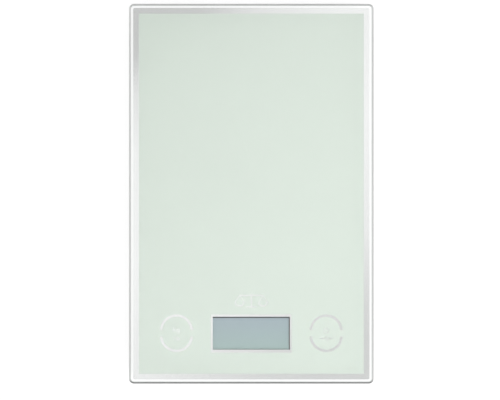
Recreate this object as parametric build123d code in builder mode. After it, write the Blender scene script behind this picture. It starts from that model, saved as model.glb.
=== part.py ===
"""A slim kitchen scale: a back-printed glass platform on a plastic case, with a load cell over each foot.

Units are millimetres. +Z is up, the display is at the -Y end, and the origin is on the table
under the middle of the platform.
"""

import os
from math import asin, cos, degrees, radians, sin, tan

from build123d import *

os.makedirs("parts", exist_ok=True)

# ------------------------------------------------------------------ driving dimensions
# Glass platform and the ink printed on its underside
glass_width = 150.0
glass_length = 233.0
glass_thickness = 4.0
glass_corner_radius = 3.0
glass_arris = 0.5
ink_thickness = 0.1
clear_margin = 2.4
border_width = 3.5
border_corner_radius = 1.0

# Display window and touch marks, placed from the front edge of the glass
display_from_front = 30.8
window_width = 47.3
window_depth = 20.2
frame_side = 1.2
frame_rear = 1.5
frame_front = 2.0
frame_corner_radius = 0.8
touch_spacing = 92.0
ring_radius = 10.15
ring_stroke = 1.5
ring_pull = 1.45
ring_gap = 4.1
legend_stroke = 0.42
emblem_stroke = 0.7
emblem_from_display = 20.2

# Case: a lower shell closed by a flat carrier that the glass is taped to
case_clearance = 3.0
case_depth = 9.4
case_inset = 7.0
case_corner_radius = 9.0
case_draft = 6.0
case_edge_radius = 1.2
wall = 1.6
carrier_plate = 1.5
carrier_gap = 0.3
tape_thickness = 0.5
tape_width = 3.5
tape_edge_gap = 1.2
rib_thickness = 1.2
floor_rib_height = 2.2
carrier_rib_height = 2.0
rib_from_screw = 16.0
rib_from_lead_lane = 12.0
rib_from_board = 3.0
rib_row_pitch = 15.0
wall_rib_reach = 2.5
wall_rib_root = 0.2
side_rib_count = 4
side_rib_from_screw = 10.0
end_rib_from_board = 5.5
cut_margin = 0.2

# Case screws, entered from below
case_screw_from_side = 8.0
case_screw_behind_cell = 8.0
case_screw_recess = 2.4
case_screw_head_radius = 2.5
case_screw_head_height = 1.6
case_screw_radius = 1.3
case_screw_length = 6.0
pillar_wall = 1.1
pillar_cap = 1.6
boss_wall = 1.7
boss_gap = 0.1
screw_head_gap = 0.3
screw_hole_gap = 0.15
screw_bore_gap = 0.02
screw_tip_gap = 0.5
drive_depth = 0.5
drive_span = 1.2
drive_slot = 0.3

# Load cells and feet
foot_from_side = 15.0
foot_from_end = 15.5
foot_travel = 0.35
stop_gap = 0.05
foot_recess = 0.6
flange_radius = 10.0
flange_gap = 0.5
neck_radius = 6.0
neck_gap = 0.4
neck_height = 2.4
stud_radius = 3.5
cap_bottom = 1.0
cap_edge = 0.4
collar_wall = 1.2
collar_height = 1.4
pad_radius = 8.5
pad_seat = 0.6
pad_gap = 0.05
pad_groove_depth = 0.4
pad_groove_width = 1.0
cell_size = 22.0
cell_corner_radius = 2.0
cell_thickness = 1.6
cell_seat = 1.2
cell_seat_width = 3.5
cell_slot = 1.2
tongue_width = 8.0
tongue_reach = 6.4
tongue_root = 5.5
gauge_from_foot = 4.7
gauge_width = 2.8
gauge_length = 2.4
gauge_thickness = 0.1
sealant_from_foot = 2.9
sealant_width = 4.6
sealant_length = 4.4
sealant_thickness = 1.0
cell_screw_inset = 1.75
cell_screw_radius = 1.0
cell_screw_head_radius = 1.7
cell_screw_head_height = 1.0
cell_screw_length = 3.8
foot_screw_radius = 1.1
foot_screw_head_radius = 2.2
foot_screw_head_height = 1.1
foot_screw_length = 5.0
relief_radius = 4.5

# Display module and main board
module_shift_x = -0.3
module_shift_y = -0.4
aperture_width = 46.7
aperture_depth = 19.4
lcd_width = 53.0
lcd_depth = 26.0
lcd_ledge = 2.5
lcd_pane = 1.1
film_thickness = 0.2
polariser_width = 50.5
polariser_depth = 20.6
holder_lip = 0.3
holder_wall_side = 2.3
holder_wall_end = 1.7
holder_gap = 0.2
peg_radius = 0.8
peg_head_radius = 1.3
peg_head_height = 0.5
peg_hole_gap = 0.1
peg_from_middle = 5.0
zebra_width = 48.0
zebra_thickness = 1.8
reflector_inset = 0.5
board_width = 60.0
board_front = 20.6
board_rear = 27.0
board_thickness = 1.2
board_post = 3.7
board_post_radius = 2.2
board_front_post_x = 24.0
board_front_post = 18.0
board_rear_post_x = 25.5
board_rear_post = 24.0
board_screw_radius = 1.0
board_screw_head_radius = 1.9
board_screw_head_height = 1.1
board_screw_length = 3.6
electrode_radius = 9.0
electrode_thickness = 0.2
electrode_gap = 0.5
tail_width = 4.0
tail_from_edge = 6.0
tail_behind_display = 19.0
tail_slot = 2.0
tail_slot_gap = 0.5
chip_radius = 5.5
chip_height = 1.5
chip_edge_radius = 1.2
resistor_size = (2.0, 1.25, 0.5)
resistor_bank_x = -10.0
resistor_pitch = 4.0
capacitor_size = (1.6, 0.9, 0.9)
capacitor_bank_x = 11.0
capacitor_pitch = 3.6
component_columns = 5
component_row_pitch = 2.6
components_from_edge = 8.0
crystal_size = (4.6, 1.8, 1.2)
crystal_corner_radius = 0.72
crystal_from_edge = 3.0

# Battery compartment, with a hinged door in the underside
coin_radius = 10.0
coin_height = 3.2
coin_cap_radius = 8.7
coin_step = 0.3
battery_y = 12.0
coin_gap = 0.3
coin_lift = 0.3
coin_headroom = 1.0
well_wall = 1.0
well_gap = 0.2
cavity_margin = 0.4
door_thickness = 1.5
door_gap = 0.35
door_seat_gap = 0.05
door_ledge = 1.0
door_side = 1.7
hinge_space = 3.6
latch_space = 6.8
latch_room = 2.2
knuckle_radius = 1.1
hinge_pin_radius = 0.6
hinge_pin_length = 1.0
hinge_pin_end_gap = 0.25
hinge_running_gap = 0.07
box_wall = 1.2
latch_width = 9.0
latch_thickness = 0.8
latch_height = 3.1
latch_leg_gap = 2.6
latch_catch = 0.4
latch_side_gap = 0.4
latch_root_overlap = 0.2
latch_bend_share = 0.45
catch_lift = 0.1
catch_face = 0.3
catch_ramp = 1.3
notch_radius = 7.0
notch_depth = 0.8
grip_depth = 0.3
grip_width = 12.0
grip_groove = 1.0
grip_pitch = 2.2
grip_count = 4
grip_from_front = 8.0
contact_thickness = 0.3
contact_width = 4.0
contact_tab = 3.0
contact_clearance = 0.02
contact_slot_gap = 0.3
contact_lift = 0.1
clip_angle = -50.0
clip_length = 4.0
clip_room_x = 3.0
clip_room_y = 2.0
leaf_x = -6.8
leaf_bend = 1.0
leaf_touch = 1.0
leaf_tip = 4.5
leaf_tip_rise = 0.4

# Wires, and the solder joints under the board where they end
lead_diameter = 0.8
lead_pitch = 1.3
lead_bend = 2.0
lead_floor_gap = 0.3
lead_lane_from_screw = 10.0
lead_drop = 2.0
lead_front_entry = 6.4
lead_rear_entry = 13.6
lead_straight = 5.0
lead_shift_end = 14.0
lead_post_width = 1.0
lead_post_length = 4.0
joint_size = 1.3
joint_pitch = 1.7
joint_inset = 4.0
solder_margin = 0.05
battery_wire_diameter = 1.0
battery_wire_x = 8.0
battery_wire_straight = 8.0
battery_wire_shift_end = 16.0

# Rating label, left blank
label_width = 52.0
label_depth = 24.0
label_corner_radius = 1.5
label_thickness = 0.15
label_recess = 0.2
label_from_foot = 24.0
label_edge_gap = 0.3

# ------------------------------------------------------------------ levels and places
case_bottom = case_clearance
floor_top = case_bottom + wall
case_top = case_bottom + case_depth
carrier_bottom = case_top - carrier_plate
tape_top = case_top + tape_thickness
glass_bottom = tape_top + ink_thickness

case_width = glass_width - 2 * case_inset
case_length = glass_length - 2 * case_inset
carrier_width = case_width - 2 * (wall + carrier_gap)
carrier_length = case_length - 2 * (wall + carrier_gap)
carrier_radius = case_corner_radius - wall - carrier_gap

cell_top = carrier_bottom - cell_seat
cell_bottom = cell_top - cell_thickness
cell_window = cell_size - 2 * cell_seat_width
cell_screw_reach = cell_size / 2 - cell_screw_inset
foot_x = case_width / 2 - foot_from_side
foot_y = case_length / 2 - foot_from_end
flange_top = case_bottom + foot_recess - foot_travel - stop_gap

case_screw_x = case_width / 2 - case_screw_from_side
case_screw_y = foot_y - cell_size / 2 - case_screw_behind_cell
case_screw_seat = case_bottom + case_screw_recess
pillar_radius = case_screw_head_radius + screw_head_gap + pillar_wall
pillar_top = case_screw_seat + pillar_cap
boss_radius = case_screw_radius + boss_wall
boss_bottom = pillar_top + boss_gap

display_y = display_from_front - glass_length / 2
module_x = module_shift_x
module_y = display_y + module_shift_y
board_top = carrier_bottom - board_post
board_bottom = board_top - board_thickness
board_front_y = display_y - board_front
board_rear_y = display_y + board_rear
film_top = case_top - holder_lip
pane_top = film_top - film_thickness
front_pane_bottom = pane_top - lcd_pane
rear_pane_bottom = front_pane_bottom - lcd_pane
rear_pane_depth = lcd_depth - 2 * lcd_ledge
holder_width = lcd_width + 2 * (holder_gap + holder_wall_side)
holder_depth = lcd_depth + 2 * (holder_gap + holder_wall_end)
tail_x = board_width / 2 - tail_from_edge
tail_y = display_y + tail_behind_display

door_top = case_bottom + door_thickness
well_radius = coin_radius + coin_gap
well_outer = well_radius + well_wall
door_half = well_outer + door_side
door_front = battery_y - well_outer - latch_space
door_rear = battery_y + well_outer + hinge_space
hinge_y = door_rear - knuckle_radius
hinge_z = case_bottom + knuckle_radius
coin_bottom = door_top + coin_lift
coin_top = coin_bottom + coin_height
box_ceiling = coin_top + coin_headroom
box_half = door_half + door_gap
box_front = door_front - latch_room
box_rear = door_rear + door_gap
cavity_rear = battery_y + well_outer + cavity_margin
contact_end = box_front - box_wall - contact_tab
clip_radius = coin_radius + contact_clearance + contact_thickness / 2
clip_tangent = Vector(-sin(radians(clip_angle)), cos(radians(clip_angle)))
clip_normal = Vector(cos(radians(clip_angle)), sin(radians(clip_angle)))
clip_middle = Vector(0, battery_y) + clip_normal * clip_radius
clip_start = clip_middle - clip_tangent * (clip_length / 2)
clip_end = clip_middle + clip_tangent * (clip_length / 2)

lead_z = floor_top + lead_floor_gap + lead_diameter / 2
lead_start_z = cell_top + sealant_thickness / 2
lead_lane = case_screw_x - lead_lane_from_screw
lead_drop_y = foot_y - cell_size / 2 - lead_drop
sealant_end = sealant_from_foot + sealant_length
joint_x = board_width / 2 - joint_inset
joint_bottom = lead_z - lead_diameter / 2 - solder_margin
battery_joint_y = board_rear_y - joint_inset
rib_x = lead_lane - rib_from_lead_lane
rib_front = board_rear_y + rib_from_board
rib_rear = case_screw_y - rib_from_screw

corners = {
    "front_left": (-1, -1),
    "front_right": (1, -1),
    "rear_left": (-1, 1),
    "rear_right": (1, 1),
}
cell_spots = [(foot_x * sx, foot_y * sy) for sx, sy in corners.values()]
case_screw_spots = [(case_screw_x * sx, case_screw_y * sy) for sx in (-1, 1) for sy in (-1, 0, 1)]
touch_spots = [(side * touch_spacing / 2, display_y) for side in (-1, 1)]
tail_spots = [(side * tail_x, tail_y) for side in (-1, 1)]
board_screw_spots = [
    (side * x, display_y + y)
    for side in (-1, 1)
    for x, y in ((board_front_post_x, -board_front_post), (board_rear_post_x, board_rear_post))
]
peg_spots = [
    (module_x + sx * (holder_width - holder_wall_side) / 2, module_y + sy * peg_from_middle)
    for sx in (-1, 1)
    for sy in (-1, 1)
]


def level(z):
    """The horizontal sketching plane at height z."""
    return Plane.XY.offset(z)


def cell_plane(corner, z):
    """A horizontal plane on a foot's axis whose +Y points in, towards the middle of the case."""
    sx, sy = corners[corner]
    return Plane(origin=(foot_x * sx, foot_y * sy, z), x_dir=(-sy, 0, 0), z_dir=(0, 0, 1))


def draw_discs(spots, radius, mode=Mode.ADD):
    """Draws a disc at each spot in the current sketch."""
    with Locations(*spots):
        Circle(radius, mode=mode)


def draw_cross(radius):
    """Draws a screw's drive cross in the current sketch."""
    Rectangle(drive_span * radius, drive_slot * radius)
    Rectangle(drive_slot * radius, drive_span * radius)


def run_wire(points, diameter, bend):
    """Sweeps a round wire along straight runs joined by arcs, in the current part."""
    with BuildLine() as route:
        FilletPolyline(*points, radius=bend)
    with BuildSketch(Plane(origin=route.line @ 0, z_dir=route.line % 0)) as section:
        Circle(diameter / 2)
    sweep(section.sketch, path=route.line)


# ------------------------------------------------------------------ printed marks
def stroke(*points, width=legend_stroke):
    """Draws straight strokes through the points in the current sketch."""
    with BuildLine() as line:
        Polyline(*points)
    trace(line.line, line_width=width)


def arc_stroke(middle, radius, start, sweep_angle, width=legend_stroke):
    """Draws one arc stroke in the current sketch."""
    with BuildLine() as line:
        CenterArc(middle, radius, start, sweep_angle)
    trace(line.line, line_width=width)


def draw_touch_rings():
    """Two half rings round each touch spot, pulled apart along Y."""
    middle_radius = ring_radius - ring_stroke / 2
    rise = degrees(asin((ring_gap / 2 - ring_pull) / middle_radius))
    for x, y in touch_spots:
        arc_stroke((x, y + ring_pull), middle_radius, rise, 180 - 2 * rise, ring_stroke)
        arc_stroke((x, y - ring_pull), middle_radius, 180 + rise, 180 - 2 * rise, ring_stroke)


def draw_ring(x, y, radius):
    """Draws a closed ring stroke in the current sketch."""
    with Locations((x, y)):
        Circle(radius + legend_stroke / 2)
        Circle(radius - legend_stroke / 2, mode=Mode.SUBTRACT)


def draw_unit_symbols(x, y):
    """The unit symbols kg above lb."""
    draw_ring(x + 0.95, y + 1.7, 0.75)
    draw_ring(x + 1.05, y - 3.6, 0.75)
    stroke((x - 1.9, y + 0.8), (x - 1.9, y + 3.5))
    stroke((x - 0.5, y + 2.7), (x - 1.75, y + 1.65))
    stroke((x - 1.6, y + 1.9), (x - 0.45, y + 0.8))
    stroke((x + 1.78, y + 2.6), (x + 1.78, y + 0.3), (x + 1.3, y - 0.3), (x + 0.4, y - 0.3))
    stroke((x - 1.0, y - 4.4), (x - 1.0, y - 1.7))
    stroke((x + 0.25, y - 4.4), (x + 0.25, y - 1.7))


def draw_zero_symbols(x, y):
    """The standby symbol above the set-to-zero symbol."""
    arc_stroke((x, y + 1.6), 1.45, 125, 290)
    stroke((x, y + 1.9), (x, y + 3.6))
    with Locations((x, y - 3.1)):
        SlotOverall(2.6, 1.72, rotation=90)
        SlotOverall(1.76, 0.88, rotation=90, mode=Mode.SUBTRACT)
    for side in (-1, 1):
        stroke((x + side * 4.1, y - 3.1), (x + side * 1.8, y - 3.1))
        stroke((x + side * 2.6, y - 2.3), (x + side * 1.7, y - 3.1), (x + side * 2.6, y - 3.9))


def draw_emblem(y):
    """A plain two-pan balance in the maker's place."""
    stroke((0, y - 4.0), (0, y + 4.2), width=emblem_stroke)
    stroke((-3.2, y - 4.0), (3.2, y - 4.0), width=emblem_stroke)
    stroke((-7.2, y + 3.0), (7.2, y + 3.0), width=emblem_stroke)
    for x in (-7.2, 7.2):
        arc_stroke((x, y - 0.9), 2.6, 180, 180, emblem_stroke)
        for side in (-1, 1):
            stroke((x, y + 3.0), (x + side * 2.6, y - 0.9))


with BuildSketch() as marks_outline:
    draw_touch_rings()
    draw_unit_symbols(-touch_spacing / 2, display_y)
    draw_zero_symbols(touch_spacing / 2, display_y)
    draw_emblem(display_y + emblem_from_display)
    with Locations((0, display_y + (frame_rear - frame_front) / 2)):
        frame_depth = window_depth + frame_rear + frame_front
        RectangleRounded(window_width + 2 * frame_side, frame_depth, frame_corner_radius)

border_outer_width = glass_width - 2 * clear_margin
border_outer_length = glass_length - 2 * clear_margin
panel_width = border_outer_width - 2 * border_width
panel_length = border_outer_length - 2 * border_width

# ------------------------------------------------------------------ platform
with BuildPart() as glass_platform:
    with BuildSketch(level(glass_bottom)):
        RectangleRounded(glass_width, glass_length, glass_corner_radius)
    extrude(amount=glass_thickness)
    chamfer(glass_platform.faces().filter_by(Axis.Z).edges(), glass_arris)
glass_platform.part.label = "glass_platform"
export_step(glass_platform.part, "parts/glass_platform.step")

with BuildPart() as colour_print:
    with BuildSketch(level(tape_top)):
        Rectangle(panel_width, panel_length)
        add(marks_outline.sketch_local, mode=Mode.SUBTRACT)
    extrude(amount=ink_thickness)
colour_print.part.label = "colour_print"
export_step(colour_print.part, "parts/colour_print.step")

with BuildPart() as border_print:
    with BuildSketch(level(tape_top)):
        RectangleRounded(border_outer_width, border_outer_length, border_corner_radius)
        Rectangle(panel_width, panel_length, mode=Mode.SUBTRACT)
    extrude(amount=ink_thickness)
border_print.part.label = "border_print"
export_step(border_print.part, "parts/border_print.step")

with BuildPart() as marks_print:
    with BuildSketch(level(tape_top)):
        add(marks_outline.sketch_local)
        with Locations((0, display_y)):
            Rectangle(window_width, window_depth, mode=Mode.SUBTRACT)
    extrude(amount=ink_thickness)
marks_print.part.label = "marks_print"
export_step(marks_print.part, "parts/marks_print.step")

with BuildPart() as bonding_tape:
    tape_outer_width = carrier_width - 2 * tape_edge_gap
    tape_outer_length = carrier_length - 2 * tape_edge_gap
    tape_radius = carrier_radius - tape_edge_gap
    with BuildSketch(level(case_top)):
        RectangleRounded(tape_outer_width, tape_outer_length, tape_radius)
        RectangleRounded(
            tape_outer_width - 2 * tape_width,
            tape_outer_length - 2 * tape_width,
            tape_radius - tape_width,
            mode=Mode.SUBTRACT,
        )
        with GridLocations(0, tape_outer_length / 3, 1, 2):
            Rectangle(tape_outer_width - tape_width, 2 * tape_width)
        draw_discs(touch_spots, electrode_radius + electrode_gap, Mode.SUBTRACT)
    extrude(amount=tape_thickness)
bonding_tape.part.label = "bonding_tape"
export_step(bonding_tape.part, "parts/bonding_tape.step")

# ------------------------------------------------------------------ upper carrier
with BuildPart() as upper_carrier:
    with BuildSketch(level(carrier_bottom)):
        RectangleRounded(carrier_width, carrier_length, carrier_radius)
        with Locations((module_x, module_y)):
            Rectangle(holder_width + 2 * holder_gap, holder_depth + 2 * holder_gap, mode=Mode.SUBTRACT)
        with Locations(*tail_spots):
            Rectangle(tail_slot, tail_width + 2 * tail_slot_gap, mode=Mode.SUBTRACT)
    extrude(amount=carrier_plate)
    # Stiffening ribs
    with BuildSketch(level(carrier_bottom)):
        with Locations((0, (rib_front + rib_rear) / 2)):
            with GridLocations(2 * rib_x, 0, 2, 1):
                Rectangle(rib_thickness, rib_rear - rib_front)
        with Locations((0, box_rear + rib_row_pitch), (0, box_front - rib_row_pitch)):
            Rectangle(2 * rib_x, rib_thickness)
    extrude(amount=-carrier_rib_height)
    # Square seats that clamp the rim of each load cell, notched for its leads
    for corner in corners:
        with BuildSketch(cell_plane(corner, carrier_bottom)):
            Rectangle(cell_size, cell_size)
            Rectangle(cell_window, cell_window, mode=Mode.SUBTRACT)
            with Locations((0, cell_size / 2)):
                Rectangle(sealant_width, 2 * cell_seat_width + cut_margin, mode=Mode.SUBTRACT)
        extrude(amount=-cell_seat)
    # Bosses for the case screws and posts for the board
    with BuildSketch(level(carrier_bottom)):
        draw_discs(case_screw_spots, boss_radius)
    extrude(amount=boss_bottom - carrier_bottom)
    with BuildSketch(level(carrier_bottom)):
        draw_discs(board_screw_spots, board_post_radius)
    extrude(amount=-board_post)
    # Screw bores, from below, and relief holes over the foot screws
    with BuildSketch(level(boss_bottom)):
        draw_discs(case_screw_spots, case_screw_radius + screw_bore_gap)
    extrude(amount=case_screw_seat + case_screw_length + screw_tip_gap - boss_bottom, mode=Mode.SUBTRACT)
    with BuildSketch(level(board_top)):
        draw_discs(board_screw_spots, board_screw_radius + screw_bore_gap)
    extrude(amount=board_screw_length - board_thickness + screw_tip_gap, mode=Mode.SUBTRACT)
    for corner in corners:
        with BuildSketch(cell_plane(corner, cell_top)):
            for side in (-1, 1):
                with Locations((-side * cell_screw_reach, side * cell_screw_reach)):
                    Circle(cell_screw_radius + screw_bore_gap)
            Circle(relief_radius)
        extrude(amount=cell_seat + carrier_plate, mode=Mode.SUBTRACT)
upper_carrier.part.label = "upper_carrier"
export_step(upper_carrier.part, "parts/upper_carrier.step")

# ------------------------------------------------------------------ lower shell
box_middle_y = (box_front + box_rear) / 2

with BuildPart() as lower_shell:
    with BuildSketch(level(case_top)):
        RectangleRounded(case_width, case_length, case_corner_radius)
    extrude(amount=-case_depth, taper=case_draft)
    fillet(lower_shell.faces().sort_by(Axis.Z)[0].edges(), case_edge_radius)
    with BuildSketch(level(case_top)):
        RectangleRounded(case_width - 2 * wall, case_length - 2 * wall, case_corner_radius - wall)
    extrude(amount=wall - case_depth, taper=case_draft, mode=Mode.SUBTRACT)
    # Ribs on the walls that hold up the carrier's edge
    with BuildSketch(level(floor_top)):
        side_rib_x = case_width / 2 - wall + wall_rib_root - wall_rib_reach / 2
        end_rib_y = case_length / 2 - wall + wall_rib_root - wall_rib_reach / 2
        side_rib_pitch = 2 * (case_screw_y - side_rib_from_screw) / (side_rib_count - 1)
        with GridLocations(2 * side_rib_x, side_rib_pitch, 2, side_rib_count):
            Rectangle(wall_rib_reach, rib_thickness)
        with GridLocations(board_width + 2 * end_rib_from_board, 2 * end_rib_y, 2, 2):
            Rectangle(rib_thickness, wall_rib_reach)
        with Locations((0, end_rib_y)):
            Rectangle(rib_thickness, wall_rib_reach)
    extrude(amount=carrier_bottom - floor_top)
    # Floor ribs, and pairs of posts that keep the sensor leads in their lane
    with BuildSketch(level(floor_top)):
        with Locations((0, (rib_front + rib_rear) / 2)):
            with GridLocations(2 * rib_x, 0, 2, 1):
                Rectangle(rib_thickness, rib_rear - rib_front)
        for row in (1, 2):
            with Locations((0, box_rear + row * rib_row_pitch)):
                Rectangle(2 * rib_x, rib_thickness)
        for side in (-1, 1):
            with Locations((side * lead_lane, 0)):
                with GridLocations(4 * lead_pitch, case_screw_y / 2, 2, 3):
                    Rectangle(lead_post_width, lead_post_length)
    extrude(amount=floor_rib_height)
    # Screw pillars and collars round the feet
    with BuildSketch(level(floor_top)):
        draw_discs(case_screw_spots, pillar_radius)
    extrude(amount=pillar_top - floor_top)
    with BuildSketch(level(floor_top)):
        draw_discs(cell_spots, neck_radius + neck_gap + collar_wall)
    extrude(amount=collar_height)
    # Battery box: a low block that carries the hinge, and the taller cell housing
    with BuildSketch(level(case_bottom)):
        with Locations((0, box_middle_y)):
            Rectangle(2 * (box_half + box_wall), box_rear - box_front + 2 * box_wall)
    extrude(amount=knuckle_radius + hinge_z + door_gap + box_wall - case_bottom)
    with BuildSketch(level(case_bottom)):
        with Locations((0, (box_front + cavity_rear) / 2)):
            Rectangle(2 * (box_half + box_wall), cavity_rear - box_front + 2 * box_wall)
    extrude(amount=box_ceiling + box_wall - case_bottom)
    with BuildSketch(level(case_bottom)):
        with Locations((0, (door_front + door_rear) / 2)):
            Rectangle(2 * box_half, door_rear - door_front + 2 * door_gap)
    extrude(amount=door_thickness + door_seat_gap, mode=Mode.SUBTRACT)
    with BuildSketch(level(door_top)):
        with Locations((0, (box_front + cavity_rear) / 2)):
            Rectangle(2 * (box_half - door_ledge), cavity_rear - box_front)
    extrude(amount=box_ceiling - door_top, mode=Mode.SUBTRACT)
    with BuildSketch(level(box_ceiling)):
        with Locations((0, battery_y)):
            Circle(well_outer)
            Circle(well_radius, mode=Mode.SUBTRACT)
        with Locations(clip_middle):
            Rectangle(clip_length + clip_room_x, clip_length + clip_room_y, mode=Mode.SUBTRACT)
    extrude(amount=door_top + well_gap - box_ceiling)
    # Slots where the two battery contacts leave the box
    slot_length = battery_y - coin_radius / 2 - contact_end
    with BuildSketch(level(box_ceiling)):
        with Locations((leaf_x, contact_end + slot_length / 2)):
            Rectangle(contact_width + 2 * contact_slot_gap, slot_length)
    extrude(amount=-(contact_thickness + contact_slot_gap), mode=Mode.SUBTRACT)
    with BuildSketch(level(floor_top)):
        with Locations((clip_start.X, box_front - box_wall / 2)):
            Rectangle(contact_thickness + 2 * contact_slot_gap, 2 * box_wall)
    extrude(amount=coin_top - floor_top, mode=Mode.SUBTRACT)
    # Hinge groove and bores, and the notch for a fingertip
    with BuildSketch(Plane.YZ):
        with Locations((hinge_y, hinge_z)):
            Circle(knuckle_radius + door_gap)
    extrude(amount=box_half, both=True, mode=Mode.SUBTRACT)
    with BuildSketch(Plane.YZ):
        with Locations((hinge_y, hinge_z)):
            Circle(hinge_pin_radius + hinge_running_gap)
    extrude(amount=door_half + hinge_pin_length + hinge_pin_end_gap, both=True, mode=Mode.SUBTRACT)
    with BuildSketch(level(case_bottom)):
        with Locations((0, door_front - door_gap)):
            Circle(notch_radius)
        with Locations((0, door_front - door_gap + notch_radius)):
            Rectangle(2 * notch_radius, 2 * notch_radius, mode=Mode.SUBTRACT)
    extrude(amount=notch_depth, mode=Mode.SUBTRACT)
    # Foot openings, screw recesses and the label's recess
    with BuildSketch(level(case_bottom)):
        draw_discs(cell_spots, flange_radius + flange_gap)
    extrude(amount=foot_recess, mode=Mode.SUBTRACT)
    with BuildSketch(level(case_bottom)):
        draw_discs(cell_spots, neck_radius + neck_gap)
    extrude(amount=wall + collar_height, mode=Mode.SUBTRACT)
    with BuildSketch(level(case_bottom)):
        draw_discs(case_screw_spots, case_screw_head_radius + screw_head_gap)
    extrude(amount=case_screw_recess, mode=Mode.SUBTRACT)
    with BuildSketch(level(case_bottom)):
        draw_discs(case_screw_spots, case_screw_radius + screw_hole_gap)
    extrude(amount=pillar_top - case_bottom, mode=Mode.SUBTRACT)
    with BuildSketch(level(case_bottom)):
        with Locations((0, foot_y - label_from_foot)):
            RectangleRounded(
                label_width + 2 * label_edge_gap,
                label_depth + 2 * label_edge_gap,
                label_corner_radius + label_edge_gap,
            )
    extrude(amount=label_recess, mode=Mode.SUBTRACT)
lower_shell.part.label = "lower_shell"
export_step(lower_shell.part, "parts/lower_shell.step")

with BuildPart() as rating_label:
    with BuildSketch(level(case_bottom + label_recess)):
        with Locations((0, foot_y - label_from_foot)):
            RectangleRounded(label_width, label_depth, label_corner_radius)
    extrude(amount=-label_thickness)
rating_label.part.label = "rating_label"
export_step(rating_label.part, "parts/rating_label.step")

with BuildPart() as housing_screws:
    with BuildSketch(level(case_screw_seat)):
        draw_discs(case_screw_spots, case_screw_head_radius)
    extrude(amount=-case_screw_head_height)
    with BuildSketch(level(case_screw_seat)):
        draw_discs(case_screw_spots, case_screw_radius)
    extrude(amount=case_screw_length)
    with BuildSketch(level(case_screw_seat - case_screw_head_height)):
        with Locations(*case_screw_spots):
            draw_cross(case_screw_head_radius)
    extrude(amount=drive_depth, mode=Mode.SUBTRACT)
housing_screws.part.label = "housing_screws"
export_step(housing_screws.part, "parts/housing_screws.step")

# ------------------------------------------------------------------ feet and load cells
for corner in corners:
    with BuildPart() as foot_pad:
        with BuildSketch(cell_plane(corner, cap_bottom + pad_seat)):
            Circle(pad_radius)
        extrude(amount=-(cap_bottom + pad_seat))
        with BuildSketch(cell_plane(corner, 0)):
            Circle(pad_radius / 2 + pad_groove_width)
            Circle(pad_radius / 2, mode=Mode.SUBTRACT)
        extrude(amount=pad_groove_depth, mode=Mode.SUBTRACT)
    foot_pad.part.label = f"foot_pad_{corner}"
    export_step(foot_pad.part, f"parts/foot_pad_{corner}.step")

    with BuildPart() as foot_cap:
        with BuildSketch(cell_plane(corner, cap_bottom)):
            Circle(flange_radius)
        extrude(amount=flange_top - cap_bottom)
        chamfer(foot_cap.faces().sort_by(Axis.Z)[0].edges(), cap_edge)
        with BuildSketch(cell_plane(corner, flange_top)):
            Circle(neck_radius)
        extrude(amount=neck_height)
        with BuildSketch(cell_plane(corner, flange_top + neck_height)):
            Circle(stud_radius)
        extrude(amount=cell_bottom - flange_top - neck_height)
        with BuildSketch(cell_plane(corner, cap_bottom)):
            Circle(pad_radius + pad_gap)
        extrude(amount=pad_seat, mode=Mode.SUBTRACT)
        with BuildSketch(cell_plane(corner, cell_bottom)):
            Circle(foot_screw_radius + screw_bore_gap)
        extrude(amount=cell_thickness - foot_screw_length - screw_tip_gap, mode=Mode.SUBTRACT)
    foot_cap.part.label = f"foot_cap_{corner}"
    export_step(foot_cap.part, f"parts/foot_cap_{corner}.step")

    with BuildPart() as foot_screw:
        with BuildSketch(cell_plane(corner, cell_top)):
            Circle(foot_screw_head_radius)
        extrude(amount=foot_screw_head_height)
        with BuildSketch(cell_plane(corner, cell_top)):
            Circle(foot_screw_radius)
        extrude(amount=-foot_screw_length)
        with BuildSketch(cell_plane(corner, cell_top + foot_screw_head_height)):
            draw_cross(foot_screw_head_radius)
        extrude(amount=-drive_depth, mode=Mode.SUBTRACT)
    foot_screw.part.label = f"foot_screw_{corner}"
    export_step(foot_screw.part, f"parts/foot_screw_{corner}.step")

    with BuildPart() as load_cell:
        with BuildSketch(cell_plane(corner, cell_bottom)):
            RectangleRounded(cell_size, cell_size, cell_corner_radius)
            slot_x = (tongue_width + cell_slot) / 2
            with BuildLine():
                Polyline(
                    (-slot_x, tongue_root),
                    (-slot_x, -tongue_reach),
                    (slot_x, -tongue_reach),
                    (slot_x, tongue_root),
                )
            trace(line_width=cell_slot, mode=Mode.SUBTRACT)
            Circle(foot_screw_radius + screw_hole_gap, mode=Mode.SUBTRACT)
            for side in (-1, 1):
                with Locations((-side * cell_screw_reach, side * cell_screw_reach)):
                    Circle(cell_screw_radius + screw_hole_gap, mode=Mode.SUBTRACT)
        extrude(amount=cell_thickness)
    load_cell.part.label = f"load_cell_{corner}"
    export_step(load_cell.part, f"parts/load_cell_{corner}.step")

with BuildPart() as load_cell_screws:
    for corner in corners:
        for side in (-1, 1):
            spot = (-side * cell_screw_reach, side * cell_screw_reach)
            with BuildSketch(cell_plane(corner, cell_bottom)):
                draw_discs([spot], cell_screw_head_radius)
            extrude(amount=-cell_screw_head_height)
            with BuildSketch(cell_plane(corner, cell_bottom)):
                draw_discs([spot], cell_screw_radius)
            extrude(amount=cell_screw_length)
            with BuildSketch(cell_plane(corner, cell_bottom - cell_screw_head_height)):
                with Locations(spot):
                    draw_cross(cell_screw_head_radius)
            extrude(amount=drive_depth, mode=Mode.SUBTRACT)
load_cell_screws.part.label = "load_cell_screws"
export_step(load_cell_screws.part, "parts/load_cell_screws.step")

with BuildPart() as strain_gauges:
    for corner in corners:
        with BuildSketch(cell_plane(corner, cell_top)):
            with Locations((0, gauge_from_foot)):
                Rectangle(gauge_width, gauge_length)
        extrude(amount=gauge_thickness)
strain_gauges.part.label = "strain_gauges"
export_step(strain_gauges.part, "parts/strain_gauges.step")

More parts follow.
